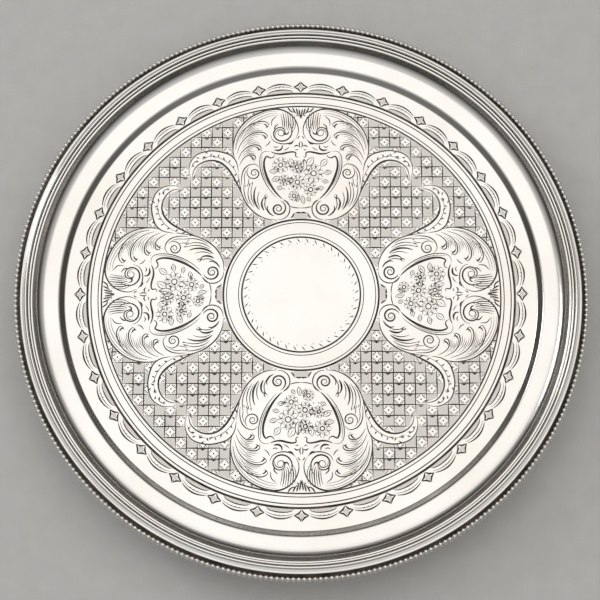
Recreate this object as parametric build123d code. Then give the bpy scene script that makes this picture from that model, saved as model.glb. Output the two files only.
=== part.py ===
from build123d import *
import math
import os

# A round silver salver with a beaded rim, on three cast feet. Millimetres, +Z up, with the origin on the
# salver's axis at the soles of the feet. The sheet is raised from one disc: a flat, a small step, a plain
# rail and a hollow that sweeps up to a level seat. The reeded moulding, the bead border and the feet are
# soldered on: each is a wire or a casting of its own, and each is written as its own node.

# The raised sheet, from the rim inwards
OVERALL_RADIUS = 152.4
SHEET = 1.3
HOLLOW_RUN = 3.6
HOLLOW_RISE = 5.0
RAIL_WIDTH = 9.3
RAIL_RISE = 0.9
STEP_RUN = 3.0
STEP_RISE = 2.9

# Radii on the inside of the sheet's bends
STEP_BEND = 1.6
HOLLOW_BEND = 8.0
SEAT_BEND = 0.4

# The reeded moulding on the seat: two half-round reeds side by side
REED_RADIUS = 0.85
REED_BASE = 0.6
REED_RAISE = 0.9
REED_ARCS = 6
SEAT_LEDGE = 0.9
MOULDING_LIP = 1.2

# The bead border: beads that just run into each other, half sunk in a strip
BEAD_RADIUS = 1.42
BEAD_PITCH = 2.775
BEAD_DROP = 1.4
BEAD_PROUD = 0.7
STRIP_WIDTH = 2.9
STRIP_TOP_WIDTH = 0.9
STRIP_ABOVE = 0.5
STRIP_BELOW = 1.0

# The feet: a beaded knee plate, a ribbed S-shaped leg and a scroll on a round pad
FOOT_COUNT = 3
FOOT_HEIGHT = 22.0
FOOT_INSET = 23.0
FRONT = -90.0
PLATE_HALF_WIDTH = 11.0
PLATE_INNER = 7.0
PLATE_OUTER = 12.5
PLATE_THICK = 1.2
KNEE_BEAD_RADIUS = 0.8
KNEE_BEAD_PITCH = 2.0
KNEE_BEAD_HEIGHT = 0.8
KNEE_BEAD_ROUND = 0.6
KNEE_BEAD_SINK = 0.2
KNEE_BEAD_MARGIN = 0.15
KNEE_HALF_WIDTH = 6.2
KNEE_HALF_DEPTH = 4.6
KNEE_OUT = 2.6
SHIN_HALF_WIDTH = 4.1
SHIN_HALF_DEPTH = 3.3
ANKLE_HALF_WIDTH = 2.5
ANKLE_HALF_DEPTH = 2.0
ANKLE_OUT = 0.4
LEG_SINK = 0.4
LEG_FLARE = 1.0
RIB_COUNT = 3
RIB_RADIUS = 1.1
RIB_TIP_RADIUS = 0.45
RIB_SPREAD = 76.0
RIB_START = 2.6
RIB_REACH = 5.6
RIB_ROOT_HEIGHT = 11.0
PAD_RADIUS = 5.2
PAD_THICK = 2.4
PAD_ROUND = 1.0
PAD_OUT = 5.0
SCROLL_RADIUS = 3.0
SCROLL_WIDTH = 6.0
SCROLL_ROUND = 0.6
EYE_RADIUS = 1.3
EYE_PROUD = 0.5

# Places that follow
BEAD_CIRCLE = OVERALL_RADIUS - BEAD_RADIUS
SEAT_OUTER = BEAD_CIRCLE - BEAD_PROUD - STRIP_WIDTH
SEAT_INNER = SEAT_OUTER - MOULDING_LIP - 4 * REED_RADIUS - SEAT_LEDGE
RAIL_OUTER = SEAT_INNER - HOLLOW_RUN
RAIL_INNER = RAIL_OUTER - RAIL_WIDTH
FLAT_RADIUS = RAIL_INNER - STEP_RUN
FLAT_TOP = FOOT_HEIGHT + SHEET
RAIL_TOP = FLAT_TOP + STEP_RISE
SEAT_TOP = RAIL_TOP + RAIL_RISE + HOLLOW_RISE
BEAD_HEIGHT = SEAT_TOP - BEAD_DROP
FOOT_CIRCLE = FLAT_RADIUS - FOOT_INSET


def turned(outline):
    """The solid of revolution of a closed section, given as radius and height."""
    return revolve(Plane.XZ * make_face(outline), Axis.Z)


def moved_right(points, distance):
    """An open outline moved to its right by the same distance everywhere."""
    normals = []
    for (x0, z0), (x1, z1) in zip(points, points[1:]):
        length = math.hypot(x1 - x0, z1 - z0)
        normals.append(((z1 - z0) / length, (x0 - x1) / length))
    before = [normals[0], *normals]
    after = [*normals, normals[-1]]
    moved = []
    for (x, z), (ax, az), (bx, bz) in zip(points, before, after):
        share = distance / (1 + ax * bx + az * bz)
        moved.append((x + share * (ax + bx), z + share * (az + bz)))
    return moved


def salver_plate():
    """The raised sheet, of one thickness all the way from the axis to the seat's edge."""
    top = [
        (0, FLAT_TOP),
        (FLAT_RADIUS, FLAT_TOP),
        (RAIL_INNER, RAIL_TOP),
        (RAIL_OUTER, RAIL_TOP + RAIL_RISE),
        (SEAT_INNER, SEAT_TOP),
        (SEAT_OUTER, SEAT_TOP),
    ]
    under = moved_right(top, SHEET)
    bends = [STEP_BEND, STEP_BEND, HOLLOW_BEND, SEAT_BEND]
    hollow_above = [True, False, True, False]
    top_radii = [bend if above else bend + SHEET for bend, above in zip(bends, hollow_above)]
    under_radii = [bend + SHEET if above else bend for bend, above in zip(bends, hollow_above)]
    upper = FilletPolyline(*top, radius=top_radii)
    lower = FilletPolyline(*under, radius=under_radii)
    axis = Line(top[0], under[0])
    edge = Line(top[-1], under[-1])
    return turned(upper.edges() + lower.edges() + [axis, edge])


def reed(start, height):
    """The half round of one reed, as a run of short arcs from its inner foot to its outer foot."""
    steps = range(2 * REED_ARCS + 1)
    turns = [math.pi * step / (2 * REED_ARCS) for step in steps]
    middle = start + REED_RADIUS
    across = [middle - REED_RADIUS * math.cos(turn) for turn in turns]
    up = [height + REED_RADIUS * math.sin(turn) for turn in turns]
    points = list(zip(across, up))
    return [ThreePointArc(*points[2 * i : 2 * i + 3]) for i in range(REED_ARCS)]


def reeded_moulding():
    """Two reeds, the outer one higher, on a strip that lies flat on the seat."""
    start = SEAT_INNER + SEAT_LEDGE
    low = SEAT_TOP + REED_BASE
    high = low + REED_RAISE
    middle = start + 2 * REED_RADIUS
    end = middle + 2 * REED_RADIUS
    between = Line((middle, low), (middle, high))
    base = Polyline((end, high), (end, SEAT_TOP + REED_BASE / 2), (SEAT_OUTER, SEAT_TOP), (start, SEAT_TOP))
    rise = Line((start, SEAT_TOP), (start, low))
    outline = [*reed(start, low), between, *reed(middle, high), *base.edges(), rise]
    return revolve(Plane.XZ * make_face(outline), Axis.Z, clean=False)


def bead_border():
    """A strip round the seat's edge, and a whole number of beads along it."""
    strip_outer = SEAT_OUTER + STRIP_WIDTH
    section = [
        (SEAT_OUTER, BEAD_HEIGHT - STRIP_BELOW),
        (strip_outer, BEAD_HEIGHT - STRIP_BELOW),
        (strip_outer, BEAD_HEIGHT + STRIP_ABOVE),
        (SEAT_OUTER + STRIP_TOP_WIDTH, SEAT_TOP),
        (SEAT_OUTER, SEAT_TOP),
    ]
    strip = turned(Polyline(*section, close=True))
    count = round(2 * math.pi * BEAD_CIRCLE / BEAD_PITCH)
    ring = PolarLocations(BEAD_CIRCLE, count)
    beads = [Pos(0, 0, BEAD_HEIGHT) * place * Sphere(BEAD_RADIUS) for place in ring]
    return strip.fuse(*beads)


def knee_outline(inset):
    """The knee plate's shield, with +X outwards: a wide round outer end and a point inwards."""
    side = PLATE_HALF_WIDTH - inset
    outer = ThreePointArc((0, side), (PLATE_OUTER - inset, 0), (0, -side))
    point = (-(PLATE_INNER - inset), 0)
    return [outer, Line((0, -side), point), Line(point, (0, side))]


def knee_bead():
    """One bead of the knee plate: a low round stud with its lower edge rounded, sunk into the plate."""
    height = KNEE_BEAD_HEIGHT + KNEE_BEAD_SINK
    stud = Cylinder(KNEE_BEAD_RADIUS, height, align=(Align.CENTER, Align.CENTER, Align.MIN))
    rounded = fillet(stud.edges().sort_by(Axis.Z)[0], KNEE_BEAD_ROUND)
    return Pos(0, 0, FOOT_HEIGHT - PLATE_THICK - KNEE_BEAD_HEIGHT) * rounded


def knee_plate():
    """The foot's own plate against the sheet, with a row of beads under its edge."""
    plate = extrude(Pos(0, 0, FOOT_HEIGHT) * make_face(knee_outline(0)), amount=PLATE_THICK, dir=(0, 0, -1))
    bead = knee_bead()
    beads = []
    for side in knee_outline(KNEE_BEAD_RADIUS + KNEE_BEAD_MARGIN):
        count = round(side.length / KNEE_BEAD_PITCH)
        for i in range(count):
            place = side @ ((i + 1 / 2) / count)
            beads.append(Pos(place.X, place.Y, 0) * bead)
    return plate.fuse(*beads)


def leg_section(out, height, half_depth, half_width):
    """One level section of the leg."""
    return Pos(out, 0, height) * Ellipse(half_depth, half_width)


def leg():
    """The leg from the knee plate to the pad: wide at the knee, thin at the ankle, then out to the toe."""
    knee = FOOT_HEIGHT - PLATE_THICK
    ankle = PAD_THICK + SCROLL_RADIUS
    middle = (knee + ankle) / 2
    foot_half_depth = ANKLE_HALF_DEPTH + LEG_FLARE
    foot_half_width = ANKLE_HALF_WIDTH + LEG_FLARE
    sections = [
        leg_section(0, knee + LEG_SINK, KNEE_HALF_DEPTH + LEG_FLARE, KNEE_HALF_WIDTH + LEG_FLARE),
        leg_section(KNEE_OUT, (knee + middle) / 2, KNEE_HALF_DEPTH, KNEE_HALF_WIDTH),
        leg_section(KNEE_OUT / 2, middle, SHIN_HALF_DEPTH, SHIN_HALF_WIDTH),
        leg_section(ANKLE_OUT, ankle, ANKLE_HALF_DEPTH, ANKLE_HALF_WIDTH),
        leg_section(PAD_OUT / 2, PAD_THICK - LEG_SINK, foot_half_depth, foot_half_width),
    ]
    return loft(sections)


def knee_ribs():
    """Shell ribs that fan out from the front of the leg to the knee plate."""
    length = math.hypot(RIB_REACH, FOOT_HEIGHT - PLATE_THICK - RIB_ROOT_HEIGHT)
    lean = math.degrees(math.asin(RIB_REACH / length))
    rib = Cone(RIB_TIP_RADIUS, RIB_RADIUS, length, align=(Align.CENTER, Align.CENTER, Align.MIN))
    rib = Pos(RIB_START, 0, RIB_ROOT_HEIGHT) * Rot(0, lean, 0) * rib
    turns = [RIB_SPREAD * (i / (RIB_COUNT - 1) - 1 / 2) for i in range(RIB_COUNT)]
    return [Rot(0, 0, turn) * rib for turn in turns]


def scroll_toe():
    """The toe's scroll, a drum lying across the foot with a round eye at each end, on a round pad."""
    drum = Cylinder(SCROLL_RADIUS, SCROLL_WIDTH)
    drum = fillet(drum.edges(), SCROLL_ROUND)
    eyes = Cylinder(EYE_RADIUS, SCROLL_WIDTH + 2 * EYE_PROUD)
    scroll = Pos(PAD_OUT, 0, PAD_THICK + SCROLL_RADIUS - LEG_SINK) * Rot(90, 0, 0) * (drum + eyes)
    pad = Cylinder(PAD_RADIUS, PAD_THICK, align=(Align.CENTER, Align.CENTER, Align.MIN))
    pad = Pos(PAD_OUT, 0, 0) * fillet(pad.edges(), PAD_ROUND)
    return scroll, pad


def foot():
    """One foot in its own place on +X, as one casting."""
    scroll, pad = scroll_toe()
    body = knee_plate().fuse(leg(), *knee_ribs(), scroll, pad)
    return Pos(FOOT_CIRCLE, 0, 0) * body


def write(name, shape):
    """One node, as one STEP file."""
    shape.label = name
    export_step(shape, "parts/" + name + ".step")


os.makedirs("parts", exist_ok=True)
write("salver_plate", salver_plate())
write("reeded_moulding", reeded_moulding())
write("bead_border", bead_border())
casting = foot()
for number in range(FOOT_COUNT):
    write("foot_" + str(number + 1), Rot(0, 0, FRONT + number * 360 / FOOT_COUNT) * casting)
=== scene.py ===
import math
import random

import bmesh
import bpy
import numpy as np
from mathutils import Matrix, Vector
from mathutils.geometry import delaunay_2d_cdt


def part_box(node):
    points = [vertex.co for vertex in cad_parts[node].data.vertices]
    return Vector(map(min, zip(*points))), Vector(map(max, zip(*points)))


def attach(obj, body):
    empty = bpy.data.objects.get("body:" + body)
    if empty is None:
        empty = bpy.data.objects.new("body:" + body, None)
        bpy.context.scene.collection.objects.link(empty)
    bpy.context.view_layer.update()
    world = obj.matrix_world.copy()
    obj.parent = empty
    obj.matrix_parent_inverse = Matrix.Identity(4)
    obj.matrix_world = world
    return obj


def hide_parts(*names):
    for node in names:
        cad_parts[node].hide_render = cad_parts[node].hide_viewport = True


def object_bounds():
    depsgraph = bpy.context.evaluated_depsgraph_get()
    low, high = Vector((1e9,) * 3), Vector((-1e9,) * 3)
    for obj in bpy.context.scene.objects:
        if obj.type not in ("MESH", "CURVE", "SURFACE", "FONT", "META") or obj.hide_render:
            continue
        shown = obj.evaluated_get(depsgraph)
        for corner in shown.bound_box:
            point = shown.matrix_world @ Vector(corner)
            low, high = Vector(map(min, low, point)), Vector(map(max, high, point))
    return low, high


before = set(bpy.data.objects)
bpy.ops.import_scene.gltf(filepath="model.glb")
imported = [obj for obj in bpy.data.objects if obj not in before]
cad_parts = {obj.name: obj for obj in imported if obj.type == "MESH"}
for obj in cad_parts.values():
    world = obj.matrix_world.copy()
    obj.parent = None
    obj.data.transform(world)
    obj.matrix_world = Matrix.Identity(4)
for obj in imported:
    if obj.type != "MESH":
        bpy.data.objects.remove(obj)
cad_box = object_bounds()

# A round silver salver: an engraved sheet with a step, a rail and a hollow, a reeded moulding, a bead
# border and three cast feet. Lengths below are millimetres until a mesh is made, and MM turns them to metres.
MM = 0.001
RANDOM = random.Random(7)


def in_mm(value):
    """A length of the frame in millimetres, rounded to what the CAD was drawn to."""
    return round(value / MM, 1)


# --- Sizes: the overall ones come from the frame, the section's own ones are those of the CAD ----------
PLATE_LOW, PLATE_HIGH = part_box("salver_plate")
RIM_RADIUS = in_mm(cad_box[1][0])
UNDERSIDE = in_mm(PLATE_LOW[2])
SEAT_TOP = in_mm(PLATE_HIGH[2])
SHEET = 1.3
FLAT_TOP = UNDERSIDE + SHEET
BEAD_RADIUS = 1.42
BEAD_PITCH = 2.775
BEAD_PROUD = 0.7
BEAD_DROP = 1.4
STRIP_WIDTH = 2.9
STRIP_TOP_WIDTH = 0.9
STRIP_ABOVE = 0.5
STRIP_BELOW = 1.0
REED_RADIUS = 0.85
REED_BASE = 0.6
REED_RAISE = 0.9
SEAT_LEDGE = 0.9
MOULDING_LIP = 1.2
HOLLOW_RUN = 3.6
HOLLOW_RISE = 5.0
RAIL_WIDTH = 9.3
STEP_RUN = 3.0
STEP_RISE = 2.9
STEP_BEND = 1.6
HOLLOW_BEND = 8.0
SEAT_BEND = 0.4
BEAD_CIRCLE = RIM_RADIUS - BEAD_RADIUS
SEAT_OUTER = BEAD_CIRCLE - BEAD_PROUD - STRIP_WIDTH
SEAT_INNER = SEAT_OUTER - MOULDING_LIP - 4 * REED_RADIUS - SEAT_LEDGE
RAIL_OUTER = SEAT_INNER - HOLLOW_RUN
RAIL_INNER = RAIL_OUTER - RAIL_WIDTH
FLAT_RADIUS = RAIL_INNER - STEP_RUN
BEAD_HEIGHT = SEAT_TOP - BEAD_DROP

# The engraving is laid out on its own grid, in units of which the flat's radius holds 236
UNIT = FLAT_RADIUS / 236
ROUND = 512  # steps round the salver's axis
GROOVE_SLOPE = 0.9  # depth of a cut over half its width
CUT_SCALE = 1.4  # how much wider every cut is than its drawn width
CUT_FULLNESS = 0.42  # how soon a cut reaches its full width: smaller is sooner
SHALLOWEST_CUT = 0.02  # anything less deep than this is level
SUNK_DEPTH = 0.08  # a facet deeper than this is sunk as a pyramid, and a shallower one is only dull
SEARCH_CELL = 2.0  # side of the square cells in which points are looked up


# --- Camera and lights ----------------------------------------------------------------------------------
CAMERA_DISTANCE = 839.8
CAMERA_TILT = 14.39
CAMERA_TURN = -0.27
CAMERA_LENS = 94.4
AIM = (-0.6, -3.3)


def make_camera():
    """The camera stands in front of the salver and looks down on it, a little off the vertical."""
    tilt = math.radians(CAMERA_TILT)
    turn = math.radians(CAMERA_TURN)
    out = CAMERA_DISTANCE * math.sin(tilt)
    place = Vector((out * math.sin(turn), -out * math.cos(turn), FLAT_TOP + CAMERA_DISTANCE * math.cos(tilt)))
    aim = Vector((AIM[0], AIM[1], FLAT_TOP))
    data = bpy.data.cameras.new("camera")
    data.lens = CAMERA_LENS
    camera = bpy.data.objects.new("camera", data)
    camera.location = place * MM
    camera.rotation_euler = (aim - place).to_track_quat("-Z", "Y").to_euler()
    bpy.context.collection.objects.link(camera)
    bpy.context.scene.camera = camera


def area_light(name, place, aim, size, power, colour):
    """A soft square lamp at place, in metres, turned to aim."""
    data = bpy.data.lights.new(name, "AREA")
    data.shape = "SQUARE"
    data.size = size
    data.energy = power
    data.color = colour
    lamp = bpy.data.objects.new(name, data)
    lamp.location = place
    lamp.rotation_euler = (Vector(aim) - Vector(place)).to_track_quat("-Z", "Y").to_euler()
    bpy.context.collection.objects.link(lamp)


def make_lights():
    """A large soft box overhead, which the flat mirrors, and a world that darkens to the horizon."""
    area_light("overhead", (0.0, 0.55, 1.75), (0, 0.1, 0), 1.9, 4.9, (1.0, 0.975, 0.94))
    area_light("side", (-1.5, 0.9, 1.3), (0, 0, 0), 0.6, 4, (0.95, 0.97, 1.0))
    world = bpy.data.worlds.new("studio")
    bpy.context.scene.world = world
    bpy.context.scene.view_settings.view_transform = "Standard"
    world.use_nodes = True
    nodes = world.node_tree.nodes
    links = world.node_tree.links
    nodes.clear()
    coordinate = nodes.new("ShaderNodeTexCoord")
    split = nodes.new("ShaderNodeSeparateXYZ")
    ramp = nodes.new("ShaderNodeValToRGB")
    ramp.color_ramp.elements[0].position = 0.3
    ramp.color_ramp.elements[0].color = (0.05, 0.047, 0.044, 1)
    ramp.color_ramp.elements[1].position = 0.95
    ramp.color_ramp.elements[1].color = (0.7, 0.7, 0.7, 1)
    background = nodes.new("ShaderNodeBackground")
    output = nodes.new("ShaderNodeOutputWorld")
    links.new(coordinate.outputs["Generated"], split.inputs[0])
    links.new(split.outputs["Z"], ramp.inputs[0])
    links.new(ramp.outputs["Color"], background.inputs["Color"])
    links.new(background.outputs[0], output.inputs[0])


# --- Materials ------------------------------------------------------------------------------------------
def new_material(name, colour, roughness):
    """A metallic material with its shader, and its node tree's nodes and links."""
    material = bpy.data.materials.new(name)
    material.use_nodes = True
    nodes = material.node_tree.nodes
    shader = nodes["Principled BSDF"]
    shader.inputs["Base Color"].default_value = (*colour, 1)
    shader.inputs["Metallic"].default_value = 1.0
    shader.inputs["Roughness"].default_value = roughness
    return material, shader, nodes, material.node_tree.links


def noise(nodes, links, vector, scale, detail=4.0, stretch=None):
    """Noise over the object's own coordinates, with its scale in features per metre."""
    texture = nodes.new("ShaderNodeTexNoise")
    texture.inputs["Scale"].default_value = scale
    texture.inputs["Detail"].default_value = detail
    if stretch:
        mapping = nodes.new("ShaderNodeMapping")
        mapping.inputs["Scale"].default_value = stretch
        mapping.inputs["Rotation"].default_value = (0, 0, RANDOM.uniform(0, math.pi))
        links.new(vector, mapping.inputs["Vector"])
        vector = mapping.outputs["Vector"]
    links.new(vector, texture.inputs["Vector"])
    return texture.outputs["Fac"]


def ramp_between(nodes, links, factor, low, high, first, second):
    """Two colours or greys over a factor's range."""
    ramp = nodes.new("ShaderNodeValToRGB")
    ramp.color_ramp.elements[0].position = low
    ramp.color_ramp.elements[0].color = (*first, 1)
    ramp.color_ramp.elements[1].position = high
    ramp.color_ramp.elements[1].color = (*second, 1)
    links.new(factor, ramp.inputs[0])
    return ramp.outputs["Color"]


def bump(nodes, links, shader, height, strength, distance, under=None):
    """A bump on the shader's normal, on top of an earlier one where there is one."""
    node = nodes.new("ShaderNodeBump")
    node.inputs["Strength"].default_value = strength
    node.inputs["Distance"].default_value = distance
    links.new(height, node.inputs["Height"])
    if under:
        links.new(under, node.inputs["Normal"])
    links.new(node.outputs["Normal"], shader.inputs["Normal"])
    return node.outputs["Normal"]


def polished_silver(name, colour, roughness, wear):
    """Silver polished by hand: cloudy roughness, fine scratches in three directions, a warm tarnish."""
    material, shader, nodes, links = new_material(name, colour, roughness)
    place = nodes.new("ShaderNodeTexCoord").outputs["Object"]
    cloud = noise(nodes, links, place, 34, 5)
    low = (roughness * 0.72,) * 3
    high = (roughness * 1.45,) * 3
    links.new(ramp_between(nodes, links, cloud, 0.32, 0.7, low, high), shader.inputs["Roughness"])
    warm = tuple(c * k for c, k in zip(colour, (0.955, 0.93, 0.885)))
    stain = noise(nodes, links, place, 15, 6)
    links.new(ramp_between(nodes, links, stain, 0.42, 0.74, colour, warm), shader.inputs["Base Color"])
    normal = bump(nodes, links, shader, noise(nodes, links, place, 22, 2), 0.05 * wear, 0.0012)
    for stretch in ((1, 34, 1), (41, 1, 1), (1, 27, 1)):
        scratch = noise(nodes, links, place, 520, 2, stretch)
        normal = bump(nodes, links, shader, scratch, 0.035 * wear, 0.00006, normal)
    return material


def cut_silver(name, dark, light):
    """Rougher silver with brown tarnish left in it, as in the cuts of the engraving. Its near-black copy in
    the rim's grooves, walls and undersides is partly tarnish and partly painted shade.
    """
    material, shader, nodes, links = new_material(name, dark, 0.5)
    place = nodes.new("ShaderNodeTexCoord").outputs["Object"]
    patch = noise(nodes, links, place, 120, 5)
    colour = ramp_between(nodes, links, patch, 0.3, 0.72, dark, light)
    links.new(colour, shader.inputs["Base Color"])
    bump(nodes, links, shader, noise(nodes, links, place, 3000, 2), 0.2, 0.00004)
    return material


def hatched_silver():
    """The shaded cells: fine parallel tool lines, dull and a little warm."""
    material, shader, nodes, links = new_material("hatched_silver", (0.6, 0.575, 0.53), 0.3)
    place = nodes.new("ShaderNodeTexCoord").outputs["Object"]
    wave = nodes.new("ShaderNodeTexWave")
    wave.wave_type = "BANDS"
    wave.bands_direction = "DIAGONAL"
    wave.inputs["Scale"].default_value = 420
    wave.inputs["Distortion"].default_value = 1.2
    wave.inputs["Detail"].default_value = 2
    links.new(place, wave.inputs["Vector"])
    line, ground = (0.5, 0.475, 0.435), (0.76, 0.735, 0.69)
    colour = ramp_between(nodes, links, wave.outputs["Fac"], 0.1, 0.9, line, ground)
    links.new(colour, shader.inputs["Base Color"])
    bump(nodes, links, shader, wave.outputs["Fac"], 0.25, 0.00004)
    return material


def floor_paint():
    """A matt pale board with a faint grain."""
    material, shader, nodes, links = new_material("floor_paint", (0.72, 0.71, 0.69), 0.75)
    shader.inputs["Metallic"].default_value = 0.0
    place = nodes.new("ShaderNodeTexCoord").outputs["Object"]
    grain = noise(nodes, links, place, 90, 4)
    colour = ramp_between(nodes, links, grain, 0.3, 0.7, (0.70, 0.69, 0.67), (0.74, 0.73, 0.71))
    links.new(colour, shader.inputs["Base Color"])
    return material


# --- Meshes ---------------------------------------------------------------------------------------------
def mesh_piece(name, points, faces, materials, kinds=None, smooth=None, corner=28):
    """A piece from points in millimetres. kinds gives each face's material, smooth which are smooth."""
    mesh = bpy.data.meshes.new(name)
    mesh.from_pydata([(x * MM, y * MM, z * MM) for x, y, z in points], [], faces)
    for material in materials:
        mesh.materials.append(material)
    if kinds is not None:
        mesh.polygons.foreach_set("material_index", kinds)
    mesh.polygons.foreach_set("use_smooth", [True] * len(faces) if smooth is None else smooth)
    mesh.update()
    mesh.set_sharp_from_angle(angle=math.radians(corner))
    piece = bpy.data.objects.new(name, mesh)
    bpy.context.collection.objects.link(piece)
    return piece


def rounded(points, radii, step=math.radians(5)):
    """A section's points with its inner corners rounded to the radii, as (radius, height)."""
    out = [points[0]]
    for before, corner, after, radius in zip(points, points[1:], points[2:], radii):
        first = (Vector(before) - Vector(corner)).normalized()
        second = (Vector(after) - Vector(corner)).normalized()
        half = first.angle(second) / 2
        reach = radius / math.tan(half)
        centre = Vector(corner) + (first + second).normalized() * (radius / math.sin(half))
        start = Vector(corner) + first * reach - centre
        turn = start.angle_signed(Vector(corner) + second * reach - centre)
        count = max(2, math.ceil(abs(turn) / step))
        for i in range(count + 1):
            angle = -turn * i / count
            c, s = math.cos(angle), math.sin(angle)
            out.append((centre.x + c * start.x - s * start.y, centre.y + s * start.x + c * start.y))
    out.append(points[-1])
    return out


def moved_right(points, distance):
    """An open section moved to its right by the same distance everywhere."""
    normals = []
    for (x0, z0), (x1, z1) in zip(points, points[1:]):
        length = math.hypot(x1 - x0, z1 - z0)
        normals.append(((z1 - z0) / length, (x0 - x1) / length))
    moved = []
    for (x, z), (ax, az), (bx, bz) in zip(points, [normals[0], *normals], [*normals, normals[-1]]):
        share = distance / (1 + ax * bx + az * bz)
        moved.append((x + share * (ax + bx), z + share * (az + bz)))
    return moved


def lathe(section, angles, closed, shift=None):
    """Points and faces of a section turned round the axis. shift moves the section at one angle."""
    points = []
    for k, angle in enumerate(angles):
        for radius, height in section:
            if shift and k == shift[0]:
                height = min(height, shift[1])
            points.append((radius * math.cos(angle), radius * math.sin(angle), height))
    size = len(section)
    rows = size if closed else size - 1
    faces = []
    for k in range(len(angles)):
        here = k * size
        there = (k + 1) % len(angles) * size
        for i in range(rows):
            j = (i + 1) % size
            faces.append((here + i, there + i, there + j, here + j))
    return points, faces


ANGLES = [2 * math.pi * k / ROUND for k in range(ROUND)]


# --- Strokes of the engraving, in the engraving's own units ---------------------------------------------
class Engraving:
    """Cuts, pits and sunk facets, each in the plane of the flat."""

    def __init__(self):
        self.cuts = []
        self.pits = []
        self.facets = []

    def cut(self, path, width, swell=0.5, closed=False):
        """A cut along path, widest at the share swell of its length and running out to nothing."""
        self.cuts.append((path, width * CUT_SCALE / 2, swell, closed))

    def pit(self, centre, radius):
        self.pits.append((centre, radius))

    def facet(self, corners, depth):
        self.facets.append((corners, depth))

    def add(self, other, place):
        """Everything of another layer, with place mapping its points."""
        for path, half, swell, closed in other.cuts:
            self.cuts.append(([place(p) for p in path], half, swell, closed))
        self.pits += [(place(c), r) for c, r in other.pits]
        self.facets += [([place(p) for p in corners], depth) for corners, depth in other.facets]


def smooth(points, step=1.6):
    """A smooth path through the points, with a point about every step."""
    path = []
    ends = [points[0], *points, points[-1]]
    for p0, p1, p2, p3 in zip(ends, ends[1:], ends[2:], ends[3:]):
        count = max(1, round(math.dist(p1, p2) / step))
        for i in range(count):
            t = i / count
            weights = (
                (-t + 2 * t * t - t**3) / 2,
                (2 - 5 * t * t + 3 * t**3) / 2,
                (t + 4 * t * t - 3 * t**3) / 2,
                (t**3 - t * t) / 2,
            )
            path.append(tuple(sum(w * p[k] for w, p in zip(weights, (p0, p1, p2, p3))) for k in (0, 1)))
    path.append(tuple(points[-1]))
    return path


def arc(centre, radius, start, end, count):
    """Points of an arc between two angles in degrees."""
    out = []
    for i in range(count + 1):
        angle = math.radians(start + (end - start) * i / count)
        out.append((centre[0] + radius * math.cos(angle), centre[1] + radius * math.sin(angle)))
    return out


def spiral(centre, outer, inner, start, turns, steps=15):
    """A spiral inwards; turns is negative for clockwise, with steps points a turn."""
    count = round(abs(turns) * steps)
    out = []
    for i in range(count + 1):
        share = i / count
        radius = outer * (inner / outer) ** share
        angle = math.radians(start) + 2 * math.pi * turns * share
        out.append((centre[0] + radius * math.cos(angle), centre[1] + radius * math.sin(angle)))
    return out


def turned_by(angle):
    """A map that turns a point about the salver's axis."""
    c, s = math.cos(math.radians(angle)), math.sin(math.radians(angle))
    return lambda p: (c * p[0] - s * p[1], s * p[0] + c * p[1])


def mirrored(p):
    return (-p[0], p[1])


def swapped(p):
    return (p[1], p[0])


def blend_paths(first, second, share):
    """The path that lies between two paths of as many points."""
    return [(a[0] + (b[0] - a[0]) * share, a[1] + (b[1] - a[1]) * share) for a, b in zip(first, second)]


# --- The cartouche: this half is mirrored, and the whole is repeated at the four quarters ----------------
SPINE = [(24, 77.6), (33, 78.2), (42, 81.8), (50, 88), (56.5, 97), (60.5, 107), (62.6, 118), (63.6, 128)]
CREST = [(66.5, 139), (69, 149), (68.8, 159), (65.8, 170), (59.8, 179.6), (52, 187.2), (43, 192.4)]
CREST += [(33, 195.8)]
CREST += [(23, 196.6), (14, 193.4), (7, 187), (3.2, 179), (2.6, 171), (5.6, 163.8)]
BAND_OUTER = [(63.6, 128), (65.8, 139), (71.5, 146.4), (80, 149.8), (90, 151.4), (99.5, 150), (107, 146.6)]
BAND_OUTER += [(112, 140.4), (114, 133), (113.4, 126), (110.6, 121.4)]
BAND_INNER = [(57.5, 99), (61.5, 109), (66, 118), (70.5, 126.4), (76, 133.8), (83, 139.2), (91, 141)]
BAND_INNER += [(99, 139.5), (105.4, 135.4), (109.4, 129.6), (110.6, 121.4)]


def shield(layer):
    """The reserve's outline: a curled top, an ear at each side and a pointed bowl."""
    top = [(2.2, 145.6), (3.7, 144.2), (5.5, 146), (5.1, 149), (8.5, 150.2), (14, 149.4), (20, 148)]
    top += [(26, 148.5), (31, 150.6)]
    side = [(26.4, 147.6), (27.6, 144.8), (31, 143.6), (35, 145.3), (37.3, 141), (37.5, 134), (35.6, 126)]
    side += [(32, 117), (27, 108.6), (22, 102.6), (18.5, 99.4)]
    layer.cut(smooth(top), 1.5, 0.6)
    layer.cut(smooth(side), 1.9, 0.6)
    layer.cut(smooth([(18.5, 99.4), (14.5, 96.4), (12.2, 92.4)]), 1.0)
    layer.cut(smooth([(12.2, 92.2), (6, 90.4), (-1, 90)]), 0.8, 0.4)
    outer = [(31, 150.6), (37, 150.6), (41, 146.6), (42, 139), (41, 130), (38, 121), (34, 113)]
    outer += [(29, 106), (24, 100.4)]
    layer.cut(smooth(outer), 0.8)
    layer.cut(smooth([(39.6, 147), (40, 138), (38.9, 129), (36, 120.4), (31.6, 112)]), 0.55)


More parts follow.
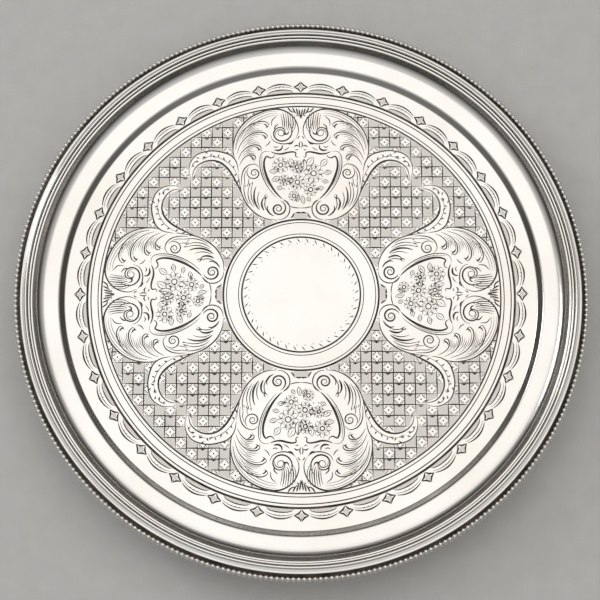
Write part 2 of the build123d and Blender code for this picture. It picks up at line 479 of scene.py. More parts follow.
def lower_scroll(layer):
    """The lower volute, its leaves, and the bracket that joins the cartouche to the medallion."""
    layer.cut(smooth([(18.5, 99.4), (13.4, 96), (11.2, 89.4), (13, 82.6), (18, 78.6), (24, 77.6)]), 0.9)
    layer.cut(smooth(SPINE), 1.0, 0.4)
    layer.cut(spiral((23, 89.3), 9, 1.5, 100, 2.1), 1.3, 0.3)
    layer.cut(spiral((23, 89.3), 7.4, 3.2, -150, 1.1), 0.7, 0.5)
    layer.cut(smooth([(33.5, 93), (34.2, 88.6), (31.4, 84.2), (27, 81.4)]), 1.3)
    leaves = [
        [(45.4, 113.4), (47.4, 107), (47.4, 99), (44.8, 92), (41.6, 88)],
        [(37.4, 101.6), (39.6, 97), (39.4, 92), (37.2, 87)],
        [(52, 116), (53.8, 106), (52, 97.4), (48, 90.6)],
        [(57, 121), (58, 110), (56, 100.4), (52, 93.4)],
        [(33, 104), (36, 99), (36.6, 92.6), (34.2, 86.6)],
        [(42, 108), (43.8, 102), (43.6, 95.6), (41.2, 89.6)],
        [(48.6, 118), (50.6, 109), (50, 100), (46.6, 91.4)],
    ]
    for i, leaf in enumerate(leaves):
        layer.cut(smooth(leaf), 1.5 if i < 2 else 0.75, 0.6)
    layer.cut(smooth([(34.6, 104.8), (36.6, 103), (35.6, 100.8), (33.4, 101.4)]), 0.9)
    layer.cut([(-1, 85), (2, 85), (6.6, 85)], 1.7, 0.4)
    layer.cut(smooth([(6.6, 85.2), (8, 82), (10.6, 79)]), 1.2)
    layer.facet([(0, 84.4), (0, 79.2), (8.6, 79), (6.2, 84.4)], 0.04)


def middle_scroll(layer):
    """The volute at the cartouche's waist, with the leaf that hangs from it."""
    layer.cut(spiral((47.6, 127.4), 8.6, 1.3, 60, -2.1), 1.0, 0.5)
    layer.cut(spiral((47.6, 127.4), 6.2, 2.6, -60, -1.0), 0.6)
    layer.cut(smooth([(42, 133), (47, 137), (54, 135.4), (58.6, 130), (60.4, 122), (60, 113)]), 0.9)
    layer.cut(smooth([(55.6, 131), (57.6, 124), (57, 116)]), 0.6)
    layer.cut(smooth([(52.4, 123), (53.4, 118), (51.6, 112.6)]), 0.6)
    for k in range(4):
        layer.cut([(49 + 2.3 * k, 118.6 - k), (49.6 + 2.3 * k, 116.6 - k), (49.6 + 2.3 * k, 114.4 - k)], 0.7)


def fans(layer):
    """Four acanthus lobes, each with a curled tip and the strokes that shade it."""
    lobes = [
        [(67, 152), (64, 165), (57.5, 175), (48, 181.4), (38.5, 183.4), (32.6, 180), (34.6, 177)],
        [(65.6, 147), (61.6, 158.6), (55, 166.6), (46.6, 171), (38.6, 171.2), (34, 167.6), (36.2, 165)],
        [(64.4, 141), (60.2, 150), (54, 155.8), (48, 157.8), (42.6, 157), (40.4, 153.6), (43, 152.4)],
        [(63, 135), (60, 141), (56, 145.4), (51.6, 147), (47, 146), (46.4, 142.6), (49, 142.4)],
    ]
    for upper, lower in zip(lobes, lobes[1:]):
        for k in range(1, 6):
            share = k / 6
            path = smooth(blend_paths(upper[:-1], lower[:-1], share))
            skip = round(len(path) * (0.28 + 0.2 * (k % 2)))
            keep = max(skip + 4, round(len(path) * (0.96 - 0.22 * (1 - abs(2 * share - 1)))))
            layer.cut(path[skip: keep], 0.42 + 0.14 * (k % 2), 0.5)
    for lobe in lobes:
        layer.cut(smooth(lobe), 0.95, 0.75)
        x, y = lobe[-1]
        layer.cut(smooth([(x + 4, y + 3.6), (x + 1.2, y + 2.4), (x, y), (x + 1.6, y - 1.4)]), 1.2)
    inner = [(x * 0.9 + 2, y * 0.965 + 2) for x, y in CREST[1:9]]
    for k in range(3):
        path = smooth(blend_paths(CREST[1:9], inner, 0.4 + 0.5 * k))
        layer.cut(path[3 + 5 * k:], 0.45, 0.6)


def upper_scroll(layer):
    """The volute beside the axis, with its eye and the arcs that shade it."""
    layer.cut(smooth(CREST, 2), 1.3, 0.6)
    layer.cut(smooth([(5.6, 163.8), (10.4, 160.2), (17, 158.8), (24, 160), (29, 163.6), (31, 169)]), 0.9, 0.3)
    layer.cut(spiral((20.6, 171), 13.5, 2.2, 120, 1.9, 20), 1.2, 0.35)
    layer.cut(spiral((20.6, 170), 6, 2.4, -30, 0.9), 0.8)
    for k in range(7):
        share = k / 6
        start = (6.8 + 14 * share, 186.6 + 7.6 * math.sin(math.pi * (0.2 + 0.55 * share)))
        middle = (5.6 + 13.4 * share, 179 + 4.4 * share)
        end = (8.6 + 10.4 * share, 171 + 4 * share)
        layer.cut(smooth([start, middle, end]), 0.62 + 0.3 * (k % 2), 0.6)
    layer.cut(smooth([(12, 173), (13.4, 169.8), (16.4, 169.6), (17.6, 172.4)]), 1.2)
    layer.cut(smooth([(22.6, 181), (26.6, 177), (26.4, 171.6)]), 1.0)
    layer.cut(smooth([(24.4, 189), (29.4, 184.6), (30, 177.6)]), 0.8)
    layer.cut(smooth([(19, 158), (19.4, 154), (22.6, 151.8), (27.6, 152.4)]), 1.5, 0.6)
    layer.cut(smooth([(22.6, 156.6), (25.6, 155), (28.6, 156.4)]), 0.8)
    layer.cut(smooth([(7.6, 161.4), (10, 159.4), (13, 158.2)]), 1.5, 0.4)
    layer.cut(smooth([(31, 163), (33, 159), (36.6, 156.4)]), 0.8)
    layer.cut(smooth([(11.4, 156), (14, 153.4), (18, 151.6)]), 0.7)


def axis_ornament(layer):
    """The small crown and the husks between the two upper volutes."""
    for k, (x, y) in enumerate([(1.9, 197), (4.8, 198), (8.6, 198.6), (13.6, 198.8)]):
        layer.cut(smooth([(0.5 + 1.5 * k, 186 + 2.4 * k), (x * 0.6 + 0.6 * k, y - 4.6), (x, y)]), 1.2, 0.7)
    layer.pit((0.3, 189.6), 1.0)
    layer.pit((3.8, 189.6), 0.8)
    layer.cut(smooth([(0.4, 167.4), (2.2, 166.4), (3.4, 163.8)]), 0.9)
    layer.cut(smooth([(1.6, 156), (4.6, 157.2), (7.4, 155)]), 1.1)
    layer.cut(smooth([(0.6, 162), (1.6, 158), (0.6, 154)]), 0.9)
    layer.cut(smooth([(2.4, 153.6), (4.4, 152.2), (6.6, 152.6)]), 0.8)


def daisy(layer, centre, radius, eye, petals, turn):
    """A flower of outlined petals round a ring."""
    layer.cut(arc(centre, eye, 0, 360, 12)[:-1], 0.8, closed=True)
    half = 360 / petals / 2 * 0.84
    belly = eye + 0.72 * (radius - eye)
    for k in range(petals):
        angle = turn + 360 * k / petals
        for side in (-1, 1):
            reaches = ((eye + 0.7, 0.55), (belly, 1), (radius - 0.5, 0.5), (radius, 0))
            outline = [arc(centre, reach, angle + side * half * share, 0, 1)[0] for reach, share in reaches]
            layer.cut(smooth(outline), 0.52, 0.55)
        vein = [eye + share * (radius - eye) for share in (0.2, 0.45, 0.62)]
        layer.cut(smooth([arc(centre, reach, angle, 0, 1)[0] for reach in vein]), 0.4)


def leaf(layer, start, end, bulge):
    """An outlined leaf with a midrib."""
    across = (-(end[1] - start[1]) * bulge, (end[0] - start[0]) * bulge)
    middle = ((start[0] + end[0]) / 2, (start[1] + end[1]) / 2)
    for side in (-1, 1):
        belly = (middle[0] + side * across[0], middle[1] + side * across[1])
        layer.cut(smooth([start, belly, end], 2), 0.6)
    layer.cut([start, middle, end], 0.4)


def bouquet(layer):
    """Daisies and leaves that fill the shield. This is drawn once, and isn't mirrored."""
    daisy(layer, (13, 127), 10.4, 2.8, 9, 10)
    daisy(layer, (-20.5, 136), 9, 2.2, 8, 0)
    daisy(layer, (-4, 134), 7.4, 2, 8, 20)
    daisy(layer, (-3.6, 117.6), 8.6, 2.3, 9, 5)
    daisy(layer, (-17, 119.4), 6.4, 1.8, 8, 12)
    daisy(layer, (10, 109.6), 7.4, 2.2, 8, 30)
    daisy(layer, (-7, 103), 6, 1.8, 8, 40)
    sprays = [((0, 126), (-4, 139), 0.24), ((3, 128), (3.4, 143), 0.2), ((6, 134), (13, 145), 0.26)]
    sprays += [((20, 134), (27, 143), 0.26), ((23, 127), (32, 129), 0.24), ((21, 119), (29, 117.6), 0.24)]
    sprays += [((-8, 132), (-11, 144), 0.24), ((-22, 130), (-33, 129), 0.22), ((-21, 124), (-30, 118), 0.24)]
    sprays += [((-6, 120), (-15, 119), 0.26), ((16, 110), (24, 112), 0.26), ((-18, 110), (-25, 113), 0.26)]
    sprays += [((1, 104), (3, 93.6), 0.2), ((-2, 104), (-4.6, 96), 0.24), ((6, 102), (10, 96.6), 0.26)]
    for start, end, bulge in sprays:
        leaf(layer, start, end, bulge)
    for k in range(34):
        angle = RANDOM.uniform(0, 2 * math.pi)
        reach = math.sqrt(RANDOM.uniform(0.05, 1))
        x = 29 * reach * math.cos(angle)
        y = 125 + 19 * reach * math.sin(angle)
        if abs(x) > 34 - 1.1 * max(0, 124 - y):
            continue
        lean = RANDOM.uniform(0, math.pi)
        dx, dy = 1.7 * math.cos(lean), 1.7 * math.sin(lean)
        layer.cut(smooth([(x - dx, y - dy), (x + 0.5 * dy, y - 0.5 * dx), (x + dx, y + dy)]), 0.6)


def leafy_band(layer):
    """A band of leaves that leaves the cartouche's side and curls over at its tip."""
    layer.cut(smooth(BAND_OUTER), 1.1, 0.3)
    layer.cut(smooth(BAND_INNER), 1.5, 0.4)
    nicks = [((67.6, 136), (68.8, 132.4)), ((71.6, 142), (73.4, 138.4)), ((77.4, 141), (79, 145.4))]
    nicks += [((83, 147.6), (84.6, 144.4)), ((86.6, 143.6), (90, 147.4)), ((94.6, 148), (98, 151.6))]
    nicks += [((95.6, 144), (100, 145.6)), ((103, 143.4), (107, 144.6)), ((103.6, 139.4), (107.6, 140.4))]
    nicks += [((108.6, 133.6), (110.6, 137.4)), ((107.4, 125.6), (109, 121.4)), ((62.8, 121), (64.4, 116.4))]
    nicks += [((60.4, 112.6), (62, 108.6)), ((90.6, 148.6), (92.4, 145)), ((65.4, 127.6), (67.4, 123.6))]
    for start, end in nicks:
        middle = ((start[0] + end[0]) / 2 + 0.5, (start[1] + end[1]) / 2 - 0.3)
        layer.cut([start, middle, end], 1.2, 0.6)
    layer.cut(smooth([(100, 150.2), (104, 148.6), (108.6, 146)]), 0.7)
    layer.cut(smooth([(104.6, 141.6), (109.4, 138.4), (111.8, 132.6)]), 0.6)
    layer.cut(smooth(blend_paths(BAND_INNER[1:8], BAND_OUTER[0:7], 0.45)), 0.5)


# --- The diaper of square cells between the cartouches ---------------------------------------------------
CELL = 10.7
MEDALLION = 78.6
DIAPER_EDGE = 199.4


def polygon_half(points):
    """A closed outline from one half of it and its mirror image."""
    return points + [mirrored(p) for p in reversed(points)]


CARTOUCHE = polygon_half([(8, 78), (24, 76.6), *SPINE[1:], *CREST[:8], (28, 199)])
BAND = BAND_OUTER + BAND_INNER[::-1]


def inside(polygon, x, y):
    """Whether a point is in a polygon."""
    odd = False
    for (x0, y0), (x1, y1) in zip(polygon, polygon[1:] + polygon[:1]):
        if (y0 > y) != (y1 > y) and x < x0 + (x1 - x0) * (y - y0) / (y1 - y0):
            odd = not odd
    return odd


def in_diaper(x, y):
    """Whether a point is in the diaper: clear of the rings, the cartouches and the bands."""
    radius = math.hypot(x, y)
    if radius < MEDALLION or radius > DIAPER_EDGE:
        return False
    x, y = abs(x), abs(y)
    if x > y:
        x, y = y, x
    return not (inside(CARTOUCHE, x, y) or inside(BAND, x, y) or inside(BAND, y, x))


def kept(points):
    return all(in_diaper(*p) for p in points)


def star_cell(layer, x, y):
    """A light cell: a dot, a cut to each corner, and two nicks on each side."""
    if in_diaper(x, y):
        layer.pit((x, y), 0.9)
    for k in range(4):
        turn = turned_by(90 * k)
        spoke = [turn(p) for p in ((4.2, 4.2), (2.9, 2.9), (1.7, 1.7))]
        left = [turn(p) for p in ((4.7, 1.9), (3.9, 1.6), (2.9, 1.0))]
        right = [turn(p) for p in ((4.7, -1.9), (3.9, -1.6), (2.9, -1.0))]
        for path, width in ((spoke, 0.95), (left, 0.9), (right, 0.9)):
            path = [(x + px, y + py) for px, py in path]
            if kept(path):
                layer.cut(path, width, 0.4)


def shaded_cell(layer, x, y):
    """A dull cell: a sunk pyramid under fine lines, with a nick in its upper edge. A cut-off one is level."""
    half = CELL / 2 - 0.55
    corners = [(x - half, y - half), (x + half, y - half), (x + half, y + half), (x - half, y + half)]
    if kept(corners):
        layer.facet(corners, 0.1)
        layer.cut([(x - 2.6, y + 4.3), (x, y + 3.8), (x + 2.6, y + 4.3)], 1.3)
        return
    corners = clipped_square(corners)
    if len(corners) > 2:
        layer.facet(corners, 0.03)


def clipped_square(corners):
    """What is left of a cell's square where the diaper's edge crosses it."""
    left = []
    count = 8
    for (x0, y0), (x1, y1) in zip(corners, corners[1:] + corners[:1]):
        run = [(x0 + (x1 - x0) * i / count, y0 + (y1 - y0) * i / count) for i in range(count)]
        good = [p for p in run if in_diaper(*p)]
        if good:
            left += [good[0], good[-1]] if len(good) > 1 else good
    return list(dict.fromkeys(left))


def grid_line(layer, fixed, along_x):
    """One line of the diaper's grid, cut wherever it crosses the diaper."""
    step = 0.8
    run = []
    count = round(2 * DIAPER_EDGE / step)
    for i in range(count + 1):
        moving = -DIAPER_EDGE + i * step
        point = (moving, fixed) if along_x else (fixed, moving)
        if in_diaper(*point):
            run.append(point)
            continue
        if len(run) > 4:
            layer.cut(thinned(run), 1.05, 0.5)
        run = []


def thinned(run):
    """A straight run with a point about every cell, and one near each end so that the cut stays wide."""
    count = max(2, round(math.dist(run[0], run[-1]) / CELL * 2))
    steps = [0, 0.12 / count, *(i / count for i in range(1, count)), 1 - 0.12 / count, 1]
    (x0, y0), (x1, y1) = run[0], run[-1]
    return [(x0 + (x1 - x0) * s, y0 + (y1 - y0) * s) for s in steps]


def diaper(layer):
    """All the cells and lines of the four diaper grounds."""
    reach = math.floor(DIAPER_EDGE / CELL)
    for i in range(-reach, reach + 1):
        for j in range(-reach, reach + 1):
            x, y = i * CELL, j * CELL
            if (i + j) % 2:
                star_cell(layer, x, y)
            else:
                shaded_cell(layer, x, y)
    for i in range(-reach - 1, reach + 1):
        grid_line(layer, (i + 0.5) * CELL, True)
        grid_line(layer, (i + 0.5) * CELL, False)


# --- Rings, the scalloped border and the medallion's dashes ----------------------------------------------
SCALLOPS = 32


def ring(layer, radius, width, count=384):
    layer.cut(arc((0, 0), radius, 0, 360, count)[:-1], width, closed=True)


def polar(radius, angle):
    """A point at an angle in degrees, counted from +Y."""
    return (radius * math.sin(math.radians(angle)), radius * math.cos(math.radians(angle)))


def scallop(layer, angle, step):
    """A scallop between two diamonds: its arc, a finer arc inside, and a shaded segment."""
    half = step / 2 - 1.95
    arcs = ((221, 3.8, half, 1.2), (218.6, 3.5, half + 0.3, 0.55))
    for base, rise, spread, width in arcs:
        points = []
        for i in range(13):
            share = i / 6 - 1
            points.append(polar(base + rise * (1 - share * share), angle + spread * share))
        layer.cut(points, width, 0.5)
    segment = []
    for i in range(9):
        share = i / 4 - 1
        segment.append(polar(214.6 + 4.0 * math.sqrt(max(0, 1 - share * share)), angle + 3.9 * share))
    layer.cut(segment, 0.9)
    layer.facet(segment, 0.05)
    for k in (-1, 0, 1):
        start = polar(220.4, angle + 1.0 * k - 0.35)
        layer.cut([start, polar(221.4, angle + 1.0 * k), polar(222.8, angle + 1.0 * k + 0.35)], 0.45)


def diamond(layer, angle):
    """A diamond with hollow sides and a small sunk facet."""
    corners = [(227, 0), (221, 1.95), (215.2, 0), (221, -1.95)]
    for (r0, a0), (r1, a1) in zip(corners, corners[1:] + corners[:1]):
        middle = ((r0 + r1) / 2 * 0.7 + 221 * 0.3, (a0 + a1) / 2 * 0.78)
        path = [polar(r0, angle + a0), polar(middle[0], angle + middle[1]), polar(r1, angle + a1)]
        layer.cut(smooth(path), 1.35, 0.5)
    small = [polar(221 + (r - 221) * 0.5, angle + a * 0.5) for r, a in corners]
    layer.facet(small, 0.16)
    layer.cut([polar(223.4, angle - 0.15), polar(224.6, angle), polar(225.6, angle + 0.1)], 0.8)


def border(layer):
    """The outer band: rings, scallops and diamonds."""
    for radius, width in ((199.6, 1.1), (203, 0.7), (210, 0.8), (213.7, 1.6)):
        ring(layer, radius, width)
    step = 360 / SCALLOPS
    for k in range(SCALLOPS):
        diamond(layer, k * step)
        scallop(layer, (k + 0.5) * step, step)


DASHES = 40


def medallion(layer):
    """The plain middle's two pairs of rings, with slanted dashes and dots inside them."""
    for radius, width in ((59.3, 1.2), (62.6, 0.6), (74.6, 0.6), (77.8, 1.4)):
        ring(layer, radius, width, 256)
    for k in range(DASHES):
        angle = 360 * (k + 0.5) / DASHES
        start, end = polar(58.4, angle), polar(53.2, angle + 4.2)
        middle = ((start[0] + end[0]) / 2, (start[1] + end[1]) / 2)
        layer.cut([start, middle, end], 0.95, 0.3)
        layer.pit(polar(52.4, angle + 0.2), 0.55)


def draw_engraving():
    """The whole engraving of the flat."""
    half = Engraving()
    for part in (shield, lower_scroll, middle_scroll, fans, upper_scroll, axis_ornament):
        part(half)
    flowers = Engraving()
    bouquet(flowers)
    leaves = Engraving()
    leafy_band(leaves)
    whole = Engraving()
    for quarter in range(4):
        turn = turned_by(90 * quarter)
        whole.add(half, turn)
        whole.add(half, lambda p: turn(mirrored(p)))
        whole.add(flowers, turn)
        whole.add(leaves, turn)
        whole.add(leaves, lambda p: turn(swapped(p)))
    diaper(whole)
    border(whole)
    medallion(whole)
    return whole


# --- The cuts as real grooves in the flat's mesh ----------------------------------------------------------
class Triangulation:
    """Gathers the flat's points and edges, and remembers which cut each outline point belongs to."""

    def __init__(self):
        self.points = []
        self.edges = []
        self.owner = []

    def add(self, points, owner, closed):
        """Adds a chain of points with the edges between them, and gives their numbers."""
        start = len(self.points)
        self.points += points
        self.owner += [owner] * len(points)
        numbers = list(range(start, start + len(points)))
        self.link(numbers, closed)
        return numbers

    def link(self, numbers, closed):
        self.edges += list(zip(numbers, numbers[1:]))
        if closed:
            self.edges.append((numbers[-1], numbers[0]))


def widths(path, half, swell, closed):
    """Half the width of a cut at each point of its path."""
    if closed:
        return [half] * len(path)
    steps = [math.dist(a, b) for a, b in zip(path, path[1:])]
    total = sum(steps)
    out, run = [], 0
    for step in [*steps, 0]:
        share = run / total
        side = share / swell if share < swell else (1 - share) / (1 - swell)
        out.append(half * min(1, max(0, side)) ** CUT_FULLNESS)
        run += step
    out[0] = out[-1] = 0
    return out


def side_points(path, halves, closed):
    """The two sides of a cut, left and right of its path, without its ends where it is open."""
    p = np.array(path)
    if closed:
        along = np.roll(p, -1, 0) - np.roll(p, 1, 0)
    else:
        along = np.gradient(p, axis=0)
    along /= np.maximum(np.linalg.norm(along, axis=1, keepdims=True), 1e-9)
    across = np.stack([-along[:, 1], along[:, 0]], 1) * np.array(halves)[:, None]
    left, right = p + across, p - across
    if not closed:
        left, right = left[1:-1], right[1:-1]
    return left.tolist(), right.tolist()


def lay_out(engraving):
    """Every cut, pit and facet as points and edges, in millimetres, and the shapes that give depth."""
    net = Triangulation()
    bodies = []
    for number, (path, half, swell, closed) in enumerate(engraving.cuts):
        path = [(x * UNIT, y * UNIT) for x, y in path]
        halves = widths(path, half * UNIT, swell, closed)
        left, right = side_points(path, halves, closed)
        middle = net.add(path, -1, closed)
        left = net.add(left, number, closed)
        right = net.add(right, number, closed)
        if not closed:
            net.edges += [(middle[0], left[0]), (middle[0], right[0])]
            net.edges += [(middle[-1], left[-1]), (middle[-1], right[-1])]
        bodies.append((np.array(path), np.array(halves), closed))
    for (x, y), radius in engraving.pits:
        number = len(bodies)
        net.add([(x * UNIT, y * UNIT)], -1, False)
        net.add([(px * UNIT, py * UNIT) for px, py in arc((x, y), radius, 0, 360, 6)[:-1]], number, True)
        bodies.append((np.array([(x * UNIT, y * UNIT)] * 2), np.array([radius * UNIT] * 2), False))
    facets = []
    for corners, depth in engraving.facets:
        corners = [(x * UNIT, y * UNIT) for x, y in corners]
        centre = tuple(np.mean(corners, axis=0))
        net.add(corners, -1, True)
        if depth > SUNK_DEPTH:
            net.add([centre], -1, False)
        facets.append((np.array(corners), np.array(centre), depth))
    return net, bodies, facets


class Cells:
    """Points sorted into square cells, so that those near a place are found quickly."""

    def __init__(self, points, size):
        self.size = size
        self.cells = {}
        for number, cell in enumerate(map(tuple, np.floor(points / size).astype(int))):
            self.cells.setdefault(cell, []).append(number)

    def near(self, low, high):
        first = np.floor(low / self.size).astype(int)
        last = np.floor(high / self.size).astype(int)
        found = []
        for i in range(first[0], last[0] + 1):
            for j in range(first[1], last[1] + 1):
                found += self.cells.get((i, j), ())
        return np.array(found, int)


def groove_depths(points, owners, bodies):
    """How deep each point lies under the flat: that of the deepest cut there."""
    depth = np.zeros(len(points))
    cells = Cells(points, SEARCH_CELL)
    chunk = 8
    for number, (path, halves, closed) in enumerate(bodies):
        if closed:
            path = np.vstack([path, path[:1]])
            halves = np.append(halves, halves[:1])
        for start in range(0, len(path) - 1, chunk):
            a = path[start: start + chunk]
            b = path[start + 1: start + chunk + 1]
            a = a[: len(b)]
            wa = halves[start: start + len(a)]
            wb = halves[start + 1: start + 1 + len(b)]
            margin = max(wa.max(), wb.max())
            low = np.minimum(a, b).min(0) - margin
            high = np.maximum(a, b).max(0) + margin
            near = cells.near(low, high)
            if len(near) == 0:
                continue
            near = near[~(owners[near] == number).any(1)]
            q = points[near][:, None, :]
            along = (b - a)[None]
            length = np.maximum((along**2).sum(-1), 1e-12)
            share = np.clip(((q - a[None]) * along).sum(-1) / length, 0, 1)
            gap = np.linalg.norm(q - (a[None] + share[..., None] * along), axis=-1)
            sunk = (wa + (wb - wa) * share - gap).max(1) * GROOVE_SLOPE
            np.maximum.at(depth, near, sunk)
    depth[depth < SHALLOWEST_CUT] = 0
    return depth


def facet_depths(points, facets):
    """How much deeper the sunk facets make each point, and which points a facet holds."""
    extra = np.zeros(len(points))
    cells = Cells(points, SEARCH_CELL)
    for corners, centre, depth in facets:
        near = cells.near(corners.min(0), corners.max(0))
        if depth <= SUNK_DEPTH or len(near) == 0:
            continue
        following = np.roll(corners, -1, 0)
        side = following - corners
        normal = np.stack([side[:, 1], -side[:, 0]], 1)
        reach = ((corners - centre) * normal).sum(1)
        share = ((points[near][:, None, :] - centre) * normal[None]).sum(-1) / reach[None]
        sunk = depth * (1 - share.max(1))
        extra[near] = np.maximum(extra[near], np.where(sunk > 1e-4, sunk, 0))
    return extra


def in_facets(centres, facets):
    """Which faces lie in a shaded facet."""
    shaded = np.zeros(len(centres), bool)
    cells = Cells(centres, SEARCH_CELL)
    for corners, centre, depth in facets:
        near = cells.near(corners.min(0), corners.max(0))
        if len(near) == 0:
            continue
        x, y = centres[near, 0], centres[near, 1]
        odd = np.zeros(len(near), bool)
        for (x0, y0), (x1, y1) in zip(corners, np.roll(corners, -1, 0)):
            crosses = (y0 > y) != (y1 > y)
            with np.errstate(divide="ignore", invalid="ignore"):
                odd ^= crosses & (x < x0 + (x1 - x0) * (y - y0) / (y1 - y0))
        shaded[near[odd]] = True
    return shaded


def engraved_disc(edge_radius):
    """The flat's points, triangles and their materials, with its outer ring's points first."""
    net, bodies, facets = lay_out(draw_engraving())
    outer = [(edge_radius * math.cos(a), edge_radius * math.sin(a)) for a in ANGLES]
    net.add(outer, -1, True)
    found = delaunay_2d_cdt([Vector(p) for p in net.points], net.edges, [], 0, 1e-4, True)
    flat_points, _, faces, origins = found[0], found[1], found[2], found[3]
    points = np.array([tuple(p) for p in flat_points])
    owners = np.full((len(points), 2), -2)
    ring_start = len(net.points) - ROUND
    ring_numbers = [0] * ROUND
    for number, origin in enumerate(origins):
        mine = [net.owner[o] for o in origin[:8] if net.owner[o] >= 0][:2]
        owners[number, : len(mine)] = mine
        for o in origin:
            if o >= ring_start:
                ring_numbers[o - ring_start] = number
    groove = groove_depths(points, owners, bodies)
    depth = groove + facet_depths(points, facets)
    depth[ring_numbers] = 0
    faces = np.array([f for f in faces if len(f) == 3])
    centres = points[faces].mean(1)
    kinds = np.where(in_facets(centres, facets), 2, 0)
    kinds[groove[faces].max(1) > 0] = 1
    return points, depth, faces, kinds, ring_numbers


def plate_section():
    """The sheet's section, from the flat's edge over the rim and back under to near the axis."""
    rail_top = FLAT_TOP + STEP_RISE
    top = [(0, FLAT_TOP), (FLAT_RADIUS, FLAT_TOP), (RAIL_INNER, rail_top)]
    top += [(RAIL_OUTER, SEAT_TOP - HOLLOW_RISE), (SEAT_INNER, SEAT_TOP), (SEAT_OUTER, SEAT_TOP)]
    bends = [STEP_BEND, STEP_BEND, HOLLOW_BEND, SEAT_BEND]
    hollow = [True, False, True, False]
    upper = rounded(top, [b if h else b + SHEET for b, h in zip(bends, hollow)])
    lower = rounded(moved_right(top, SHEET), [b + SHEET if h else b for b, h in zip(bends, hollow)])
    return upper[1:] + lower[:0:-1]


def make_plate(materials):
    """The raised sheet, engraved on its flat, as one closed mesh."""
    section = plate_section()
    points, depth, faces, kinds, ring_numbers = engraved_disc(section[0][0])
    all_points = [(x, y, FLAT_TOP - d) for (x, y), d in zip(points.tolist(), depth.tolist())]
    turned_points, turned_faces = lathe(section[1:], ANGLES, False)
    start = len(all_points)
    size = len(section) - 1
    all_points += turned_points
    all_faces = [tuple(f) for f in faces.tolist()]
    flat_count = len(all_faces)
    for k in range(ROUND):
        after = (k + 1) % ROUND
        all_faces.append((ring_numbers[k], start + k * size, start + after * size, ring_numbers[after]))
    all_faces += [tuple(start + i for i in reversed(f)) for f in turned_faces]
    centre = len(all_points)
    all_points.append((0, 0, UNDERSIDE))
    last = size - 1
    for k in range(ROUND):
        after = (k + 1) % ROUND
        all_faces.append((start + k * size + last, centre, start + after * size + last))
    rest = len(all_faces) - flat_count
    kinds = kinds.tolist() + [0] * rest
    smooth_faces = [False] * flat_count + [True] * rest
    piece = mesh_piece("engraved_plate", all_points, all_faces, materials, kinds, smooth_faces)
    outward(piece)
    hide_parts("salver_plate")
    return piece


def outward(piece):
    """Turns all of a closed mesh's faces to the outside."""
    shape = bmesh.new()
    shape.from_mesh(piece.data)
    bmesh.ops.recalc_face_normals(shape, faces=shape.faces)
    shape.to_mesh(piece.data)
    shape.free()


SEAM_ANGLE = 124.0
SEAM_WIDTH = 0.09
SEAM_DEPTH = 0.5


# Rows of the moulding's section painted near-black, partly tarnish and partly painted shade: both reeds'
# feet, the walls beside them and the underside
TARNISH_AND_SHADE_ROWS = (0, 1, 12, 13, 14, 26, 28)


def make_moulding(materials):
    """Two reeds on a low strip, with the butt joint where the wire's ends were soldered."""
    start = SEAT_INNER + SEAT_LEDGE
    low = SEAT_TOP + REED_BASE
    high = low + REED_RAISE
    section = [(start, SEAT_TOP)]
    for base, height in ((start, low), (start + 2 * REED_RADIUS, high)):
        for i in range(13):
            angle = math.pi * (1 - i / 12)
            out = base + REED_RADIUS * (1 + math.cos(angle))
            section.append((out, height + REED_RADIUS * math.sin(angle)))
    end = start + 4 * REED_RADIUS
    section += [(end, SEAT_TOP + REED_BASE / 2), (SEAT_OUTER, SEAT_TOP)]
    seam = math.radians(SEAM_ANGLE)
    sides = [seam - math.radians(SEAM_WIDTH), seam, seam + math.radians(SEAM_WIDTH)]
    angles = sorted([a for a in ANGLES if abs(a - seam) > math.radians(2 * SEAM_WIDTH)] + sides)
    notch = (angles.index(seam), high + REED_RADIUS - SEAM_DEPTH)
    points, faces = lathe(section, angles, True, notch)
    rows = len(section)
    # These rows take the near-black silver: painted shade in the reeds' feet, walls and underside, with some
    # tarnish.
    row_tarnish_and_shade = [0] * rows
    for row in TARNISH_AND_SHADE_ROWS:
        row_tarnish_and_shade[row] = 1
    kinds = row_tarnish_and_shade * len(angles)
    piece = mesh_piece("reeded_wire", points, faces, materials, kinds, corner=50)
    outward(piece)
    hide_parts("reeded_moulding")
    return piece


# The strip's underside, outer wall and slope are painted near-black, partly tarnish and partly painted shade
# in the gaps between and under the beads, and its top and inner face are bright
STRIP_TARNISH_AND_SHADE_KINDS = [1, 1, 1, 0, 0]


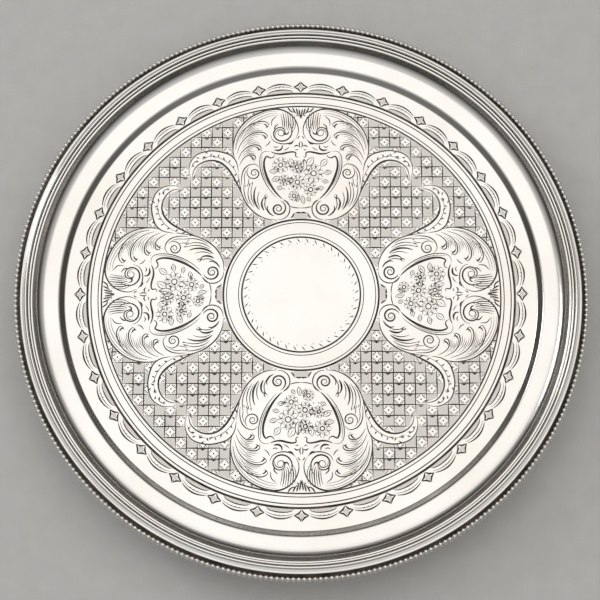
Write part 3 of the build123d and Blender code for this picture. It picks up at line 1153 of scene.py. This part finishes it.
def make_beads(materials):
    """The bead border: a turned strip and a ring of beads that stand half out of it."""
    outer = SEAT_OUTER + STRIP_WIDTH
    section = [(SEAT_OUTER, BEAD_HEIGHT - STRIP_BELOW), (outer, BEAD_HEIGHT - STRIP_BELOW)]
    section += [(outer, BEAD_HEIGHT + STRIP_ABOVE), (SEAT_OUTER + STRIP_TOP_WIDTH, SEAT_TOP)]
    section += [(SEAT_OUTER, SEAT_TOP)]
    points, faces = lathe(section, ANGLES, True)
    # The strip's underside, outer wall and slope take the near-black silver, partly painted shade.
    kinds = STRIP_TARNISH_AND_SHADE_KINDS * len(ANGLES)
    count = round(2 * math.pi * BEAD_CIRCLE / BEAD_PITCH)
    shape = bmesh.new()
    bmesh.ops.create_icosphere(shape, subdivisions=3, radius=BEAD_RADIUS)
    ball = [tuple(v.co) for v in shape.verts]
    ball_faces = [[v.index for v in f.verts] for f in shape.faces]
    shape.free()
    for k in range(count):
        angle = 2 * math.pi * k / count
        c, s = math.cos(angle), math.sin(angle)
        start = len(points)
        size = 1 + RANDOM.uniform(-0.02, 0.0)
        for x, y, z in ball:
            x, y, z = BEAD_CIRCLE + x * size, y * size, z * size
            points.append((c * x - s * y, s * x + c * y, BEAD_HEIGHT + z))
        faces += [tuple(start + i for i in f) for f in ball_faces]
    kinds += [0] * (len(faces) - len(kinds))
    piece = mesh_piece("bead_wire", points, faces, materials, kinds, corner=40)
    outward(piece)
    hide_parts("bead_border")
    return piece


def finish_feet(material):
    """The cast feet keep their CAD meshes and take the cast silver."""
    for name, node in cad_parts.items():
        if name.startswith("foot_"):
            node.data.materials.clear()
            node.data.materials.append(material)


FLOOR_REACH = 2500


def make_floor():
    """A plain pale board under the salver."""
    corners = [(-FLOOR_REACH, -FLOOR_REACH, 0), (FLOOR_REACH, -FLOOR_REACH, 0)]
    corners += [(FLOOR_REACH, FLOOR_REACH, 0), (-FLOOR_REACH, FLOOR_REACH, 0)]
    floor = mesh_piece("floor", corners, [(0, 1, 2, 3)], [floor_paint()])


make_camera()
make_lights()
make_floor()
bright = polished_silver("polished_silver", (0.90, 0.88, 0.85), 0.16, 1.0)
drawn = polished_silver("drawn_silver", (0.9, 0.88, 0.85), 0.1, 0.5)
# The beads take a lighter copy of the silver: the lighter colour is painted light that brightens them, and
# the higher roughness spreads the lamp's highlight.
brightened_beads = polished_silver("brightened_bead_silver", (0.95, 0.93, 0.9), 0.34, 0.5)
cast = polished_silver("cast_silver", (0.85, 0.825, 0.79), 0.2, 1.5)
cuts = cut_silver("cut_silver", (0.12, 0.105, 0.09), (0.36, 0.33, 0.29))
# Near-black silver for the rim's valleys, walls and undersides: partly tarnish, partly painted shade where
# light doesn't reach.
tarnish_and_shade = cut_silver("tarnish_and_shade_silver", (0.035, 0.03, 0.025), (0.12, 0.1, 0.08))
plate = make_plate([bright, cuts, hatched_silver()])
for piece in (plate, make_moulding([drawn, tarnish_and_shade]), make_beads([brightened_beads, tarnish_and_shade])):
    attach(piece, "root")
finish_feet(cast)
